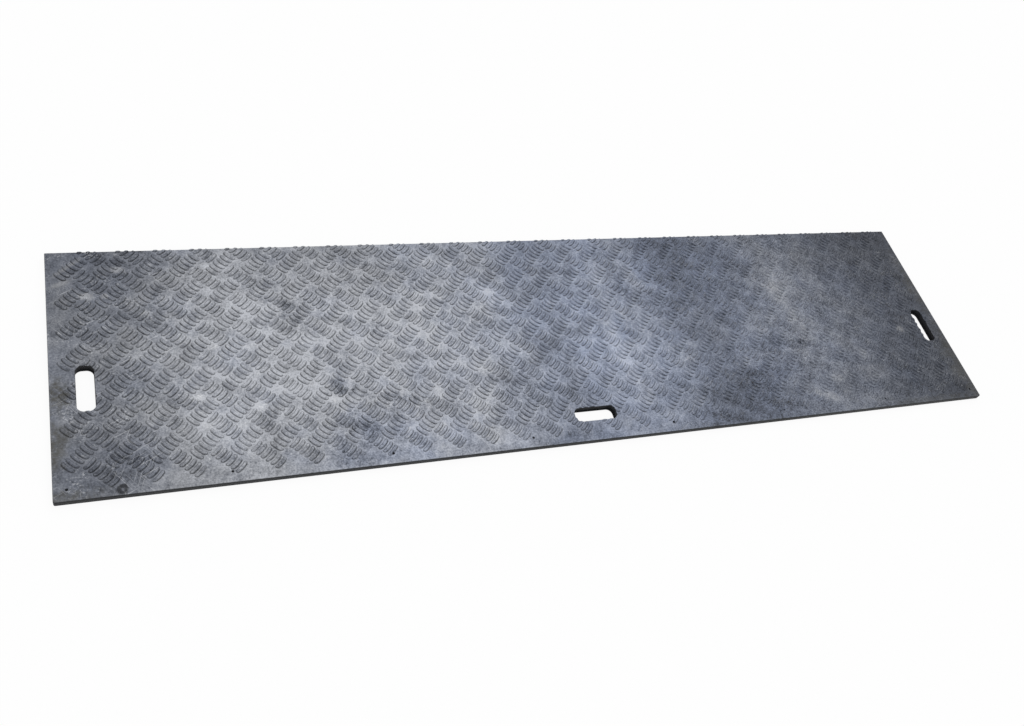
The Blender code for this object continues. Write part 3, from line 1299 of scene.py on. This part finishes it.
        # Extra cover beside and among the bars: dust that collects there, and painted light that lifts
        # their shade.
        kept = fade(tree, at.foot, 2.0 * MM, 9 * MM, *self.kept_dust_and_fill)
        tops = fade(tree, at.rise, 0.8 * MM, 2.4 * MM, 0.0, -self.trodden_off)
        sums = [kept, tops, maths(tree, "MULTIPLY", shoulder, worn)]
        grain = fade(tree, at.along, 1.10, 2.40, *self.grain)
        for size, detail, weight in self.dust_noise:
            part = maths(tree, "MULTIPLY", cloud(tree, at.place, size, detail), weight)
            sums.append(part if size > 30 * MM else maths(tree, "MULTIPLY", part, grain))
        for wipe in self.wipes:
            sums.append(maths(tree, "MULTIPLY", self.streaks(at, wipe), wipe.strength))
        marks = self.marked(at, self.dust_patches, 0.0)
        gain = maths(tree, "ADD", marks, 1.0)
        for term in sums:
            gain = maths(tree, "ADD", term, gain)
        # The creases' darkening is bare resin and painted shade at the bars' feet.
        unmarked = [maths(tree, "SUBTRACT", 1.0, dark) for dark in (self.creases(at), self.ring(at))]
        total = parts.outputs["Red"]
        for factor in (far, near, open_and_facing_light, gain, *unmarked):
            total = maths(tree, "MULTIPLY", total, factor)
        extra = maths(tree, "SUBTRACT", gain, 1.0)
        bluer = maths(tree, "MULTIPLY_ADD", extra, -self.thin_blue[0], parts.outputs["Green"])
        bluer = maths(tree, "MULTIPLY_ADD", marks, -self.thin_blue[1], bluer)
        bluer = self.marked(at, self.blue_patches, bluer)
        return maths(tree, "MULTIPLY", total, 1.0, clamp=True), bluer

    @staticmethod
    def streaks(at: SurfacePoint, lines: Scratches) -> Any:
        """Noise stretched along a line, about half a unit round zero.

        Args:
            at: Where the point lies.
            lines: The streaks' direction and size.

        Returns:
            The noise's socket.
        """
        sockets = {
            "Vector": at.place,
            "Rotation": (0.0, 0.0, math.radians(lines.turn)),
            "Scale": (lines.length, lines.width, 1.0),
        }
        local = add_node(at.tree, "ShaderNodeMapping", sockets, vector_type="TEXTURE").outputs[0]
        return cloud(at.tree, local, 1.0, 0.0)

    def ring(self, at: SurfacePoint) -> Any:
        """The dark broken ring on the near margin.

        Args:
            at: Where the point lies.

        Returns:
            The darkening's socket.
        """
        tree = at.tree
        apart = vector_maths(tree, "SUBTRACT", at.flat, (*self.ring_mark, 0.0))
        away = vector_maths(tree, "LENGTH", apart)
        off = maths(tree, "ABSOLUTE", maths(tree, "SUBTRACT", away, self.ring_radius))
        size, reach = self.ring_noise
        torn = maths(tree, "MULTIPLY_ADD", cloud(tree, at.place, size, 2.0), reach, off)
        return fade(tree, torn, 2.0 * MM, 5.8 * MM, 0.8, 0.0)

    def pale_wear_and_highlights(self, at: SurfacePoint, open_and_facing_light: Any) -> Any:
        """Pale scuffs and scratches, and pale lines on the rim and the bars' tops that are partly wear
        and partly painted highlight.

        Scuffs are clouds cut by finer clouds, with more on the tops of the bars. Scratches
        are noise stretched along a line. All are strongest towards the left end, where loads
        were dragged.

        Args:
            at: Where the point lies.
            open_and_facing_light: How far the face is open to tread, with painted light and shade by
                which way
            it faces.

        Returns:
            The socket of the wear and painted highlights, from 0 to 1.
        """
        tree = at.tree
        size, speck, strength = self.scuffs
        broad = fade(tree, cloud(tree, at.place, size, 3.0), 0.00, 0.20)
        fine = fade(tree, cloud(tree, at.place, speck, 2.0), 0.00, 0.16)
        total = maths(tree, "MULTIPLY", maths(tree, "MULTIPLY", broad, fine), strength)
        for scratches in self.scratches:
            lines = fade(tree, self.streaks(at, scratches), 0.19, 0.28, 0.0, scratches.strength)
            where = fade(tree, cloud(tree, at.place, self.scratched, 2.0), -0.04, 0.12)
            total = maths(tree, "MULTIPLY_ADD", lines, where, total)
        # Pale on the bars' tops: rubbing, and a painted highlight.
        size, strength = self.rubs_and_highlights
        rubbed = fade(tree, cloud(tree, at.place, size, 3.0), 0.07, 0.20, 0.0, strength)
        total = maths(tree, "MULTIPLY_ADD", fade(tree, at.rise, 1.6 * MM, 2.4 * MM), rubbed, total)
        speckled = maths(tree, "MULTIPLY_ADD", fine, 0.6, 0.4)
        for patch in self.pale_marks:
            mark = maths(tree, "MULTIPLY", self.mark(at, patch), patch.strength)
            total = maths(tree, "MULTIPLY_ADD", mark, speckled, total)
        left = fade(tree, at.along, 0.10, 1.30, 1.0, 0.45)
        total = maths(tree, "MULTIPLY", maths(tree, "MULTIPLY", total, left), open_and_facing_light)
        # A pale line on the moulded rim: rubbed wear and a painted highlight.
        rim = fade(tree, at.edge, 0.5 * MM, 4.5 * MM, self.rim_wear_and_highlight, 0.0)
        high = fade(tree, at.rise, -1.2 * MM, -0.3 * MM)
        return maths(tree, "MULTIPLY_ADD", rim, high, total, clamp=True)

    def colour(self, at: SurfacePoint, cover: Any, blueness: Any, open_and_facing_light: Any) -> Any:
        """Lays dust, pale wear with painted highlights and soil on the resin.

        Args:
            at: Where the point lies.
            cover: The dust cover's socket.
            blueness: The socket of the share of blue dust.
            open_and_facing_light: How far the face is open to dust and tread, with painted light and
                shade by
            which way it faces.

        Returns:
            The colour's socket.
        """
        tree = at.tree
        size, strength = self.tint_noise
        tint = maths(tree, "MULTIPLY_ADD", cloud(tree, at.place, size), strength, blueness, clamp=True)
        # The blue mix is dust with a painted blue sheen.
        dust = blend(tree, tint, linear(self.dust), linear(self.blue_dust_and_sheen))
        dusty = blend(tree, cover, linear(self.resin), dust)
        # Pale wear with painted highlights laid on the dusty resin.
        worn = blend(tree, self.pale_wear_and_highlights(at, open_and_facing_light), dusty, linear(self.scuff))
        soiled: Any = 0.0
        for patch in self.soil_patches:
            mark = maths(tree, "MULTIPLY", self.mark(at, patch), patch.strength)
            soiled = maths(tree, "MAXIMUM", mark, soiled)
        size, strength = self.soil_speckle
        speckled = maths(tree, "MULTIPLY_ADD", cloud(tree, at.place, size), strength, 0.85, clamp=True)
        soiled = maths(tree, "MULTIPLY", maths(tree, "MULTIPLY", soiled, speckled), open_and_facing_light)
        return blend(tree, soiled, worn, linear(self.soil))

    def relief(self, at: SurfacePoint) -> Any:
        """The moulded skin's pebble and dents and the saw's marks, as bump.

        Args:
            at: Where the point lies.

        Returns:
            The normal's socket.
        """
        tree = at.tree
        pebble = cloud(tree, at.place, self.pebble, 3.0)
        dents = maths(tree, "MULTIPLY", cloud(tree, at.place, self.dent, 2.0), 2.0)
        height = maths(tree, "ADD", pebble, dents)
        sockets = {
            "Vector": at.place,
            "Rotation": (0.0, math.radians(self.saw_slant), 0.0),
            "Scale": (self.saw_pitch, 1.0, self.saw_length),
        }
        streaks = add_node(tree, "ShaderNodeMapping", sockets, vector_type="TEXTURE").outputs[0]
        begins, whole = (at.width - depth for depth in self.sawn_depth)
        sawn = fade(tree, at.across, begins, whole, 0.0, 2.2)
        height = maths(tree, "MULTIPLY_ADD", cloud(tree, streaks, 1.0, 1.0), sawn, height)
        sockets = {"Strength": 0.7, "Distance": self.relief_height, "Height": height}
        return add_node(tree, "ShaderNodeBump", sockets).outputs["Normal"]


@dataclass(frozen=True)
class Studio:
    """A pale floor, soft daylight and the camera.

    The sky and the sun together light a level face at a plain strength of 1.

    Attributes:
        hand_holes: The mat's hand holes, whose walls shade the floor in them.
        camera_place: Where the camera stands, in metres.
        camera_turn: Its turn about X, Y and Z, in degrees.
        lens: Focal length in millimetres.
        sensor: The sensor's width in millimetres.
        floor_side: Side of the square floor.
        floor_gap: How far the floor lies under the mat.
        floor_white: Share of plain white in what the camera sees of the floor.
        floor_colour: Of its paint.
        shade_colour: Of its paint in the shade of the holes' walls.
        sun_share: Share of the light on a level face that comes from the soft sun.
        sun_from: Compass direction that it comes from, anticlockwise from X, in degrees.
        sun_height: Its height above the horizon, in degrees.
        sun_breadth: Its breadth, in degrees, as behind thin cloud.
        shadow_reaches: How far that shade reaches along X and Y, for each hole.
    """

    hand_holes: tuple[HandHole, ...]
    camera_place: tuple[float, float, float] = (-1.0810, -1.2345, 1.8623)
    camera_turn: tuple[float, float, float] = (35.291, -16.193, -16.162)
    lens: float = 33.599
    sensor: float = 36.0
    floor_side: float = 30.0
    floor_gap: float = 0.4 * MM
    floor_white: float = 0.92
    floor_colour: str = "#f2f2f2"
    shade_colour: str = "#26272a"
    sun_share: float = 0.14
    sun_from: float = 48.0
    sun_height: float = 44.0
    sun_breadth: float = 38.0
    shadow_reaches: tuple[tuple[float, float], ...] = (
        (1.5 * MM, 3.5 * MM), (7.0 * MM, 4.5 * MM), (5.0 * MM, 3.5 * MM),
    )

    def build(self) -> None:
        """Makes the whole studio."""
        self.floor()
        self.sun()
        self.sky()
        self.camera()

    @staticmethod
    def seen(tree: Any) -> Any:
        """Whether a ray comes from the camera, a reflection or a see-through surface.

        Args:
            tree: The node tree.

        Returns:
            A socket, 1 or 0.
        """
        ray = add_node(tree, "ShaderNodeLightPath").outputs
        first = maths(tree, "ADD", ray["Is Camera Ray"], ray["Is Glossy Ray"])
        return maths(tree, "ADD", first, ray["Is Transmission Ray"], clamp=True)

    def wall_shade(self, tree: Any) -> Any:
        """Where the walls of the hand holes keep the sun off the floor: 1 in the shade.

        The shade is what a hole's outline leaves of itself when it moves by the reach
        towards the near left. A point's distance outside an outline is the length of what
        its offset from the middle has beyond the straight sides, less the corner radius.

        Args:
            tree: The node tree.

        Returns:
            The shade's socket.
        """
        place = add_node(tree, "ShaderNodeTexCoord").outputs["Object"]
        shade: Any = 0.0
        for hole, reach in zip(self.hand_holes, self.shadow_reaches):
            straight = (*(side / 2 - hole.radius for side in hole.size), 1.0)
            outside = []
            for shift in ((0.0, 0.0), reach):
                middle = (hole.centre[0] - shift[0], hole.centre[1] - shift[1], 0.0)
                apart = vector_maths(tree, "ABSOLUTE", vector_maths(tree, "SUBTRACT", place, middle))
                beyond = vector_maths(tree, "SUBTRACT", apart, straight)
                beyond = vector_maths(tree, "MAXIMUM", beyond, (0.0, 0.0, 0.0))
                away = vector_maths(tree, "LENGTH", beyond)
                outside.append(maths(tree, "SUBTRACT", away, hole.radius))
            within = fade(tree, outside[0], 1.0 * MM, 2.0 * MM, 1.0, 0.0)
            left_out = fade(tree, outside[1], -0.5 * MM, 0.5 * MM)
            shade = maths(tree, "MULTIPLY_ADD", left_out, within, shade)
        return shade

    def floor(self) -> None:
        """A pale matt floor that stays near white for the camera and keeps the shadow.

        The white share would drown the dark strip that the holes' walls leave on the ground,
        so the camera sees the floor dark there. From below the floor is clear, so that the
        mat's underside can be seen.
        """
        half = self.floor_side / 2
        corners = np.array([(-half, -half), (half, -half), (half, half), (-half, half)])
        points = np.column_stack([corners, np.full(4, -self.floor_gap)])
        floor = add_object("floor", mesh_from("floor", (points, [(0, 1, 2, 3)]), False))
        paint = bpy.data.materials.new("pale_matt_floor")
        paint.use_nodes = True
        tree = paint.node_tree
        tree.nodes.clear()
        seen, shade = self.seen(tree), self.wall_shade(tree)
        shaded = maths(tree, "MULTIPLY", seen, shade)
        colour = blend(tree, shaded, linear(self.floor_colour), linear(self.shade_colour))
        matt = add_node(tree, "ShaderNodeBsdfDiffuse", {"Color": colour})
        white = add_node(tree, "ShaderNodeEmission", {"Color": (1.0, 1.0, 1.0, 1.0), "Strength": 1.0})
        share = maths(tree, "MULTIPLY", maths(tree, "SUBTRACT", seen, shaded), self.floor_white)
        sockets = {0: share, 1: matt.outputs[0], 2: white.outputs[0]}
        both = add_node(tree, "ShaderNodeMixShader", sockets)
        below = add_node(tree, "ShaderNodeNewGeometry").outputs["Backfacing"]
        clear = add_node(tree, "ShaderNodeBsdfTransparent")
        sockets = {0: below, 1: both.outputs[0], 2: clear.outputs[0]}
        one_sided = add_node(tree, "ShaderNodeMixShader", sockets)
        add_node(tree, "ShaderNodeOutputMaterial", {"Surface": one_sided.outputs[0]})
        floor.data.materials.append(paint)

    def sun(self) -> None:
        """The sun behind thin cloud, beyond the far right corner.

        A sun of energy E at height h lights a level face as E sin(h) / pi, which is set to
        the sun's share.
        """
        height, compass = math.radians(self.sun_height), math.radians(self.sun_from)
        light = bpy.data.lights.new("soft_sun", "SUN")
        light.angle = math.radians(self.sun_breadth)
        light.energy = self.sun_share * math.pi / math.sin(height)
        sun = bpy.data.objects.new("soft_sun", light)
        sun.rotation_euler = Euler((math.pi / 2 - height, 0.0, compass + math.pi / 2), "XYZ")
        bpy.context.scene.collection.objects.link(sun)

    def sky(self) -> None:
        """An even sky that lights the mat softly and shows white to the camera."""
        world = bpy.data.worlds.new("even_sky")
        world.use_nodes = True
        tree = world.node_tree
        tree.nodes.clear()
        sockets = {"Value": self.seen(tree), "To Min": 1 - self.sun_share, "To Max": 1.0}
        strength = add_node(tree, "ShaderNodeMapRange", sockets).outputs["Result"]
        sockets = {"Color": (1.0, 1.0, 1.0, 1.0), "Strength": strength}
        air = add_node(tree, "ShaderNodeBackground", sockets)
        add_node(tree, "ShaderNodeOutputWorld", {"Surface": air.outputs[0]})
        bpy.context.scene.world = world

    def camera(self) -> None:
        """The camera, at the photograph's viewing angle."""
        eye = bpy.data.cameras.new("camera")
        eye.lens = self.lens
        eye.sensor_width = self.sensor
        camera = bpy.data.objects.new("camera", eye)
        camera.location = self.camera_place
        camera.rotation_euler = Euler([math.radians(angle) for angle in self.camera_turn], "XYZ")
        bpy.context.scene.collection.objects.link(camera)
        bpy.context.scene.camera = camera


def main() -> None:
    """Builds the mat and its studio."""
    logging.basicConfig(level=logging.INFO, format="%(name)s: %(message)s")
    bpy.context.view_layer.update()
    bpy.context.scene.view_settings.view_transform = "Standard"
    bar = TreadBar()
    box = SheetBox.of_node("mat", bar.height)
    sheet = TreadSheet(box, TreadLayout(box, bar))
    mat = sheet.build()
    mat.data.materials.clear()
    mat.data.materials.append(WeatheredPolyethylene().material(sheet))
    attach(mat, "root")
    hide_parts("mat")
    Studio(tuple(sheet.hand_holes)).build()


if __name__ == "__main__":
    main()
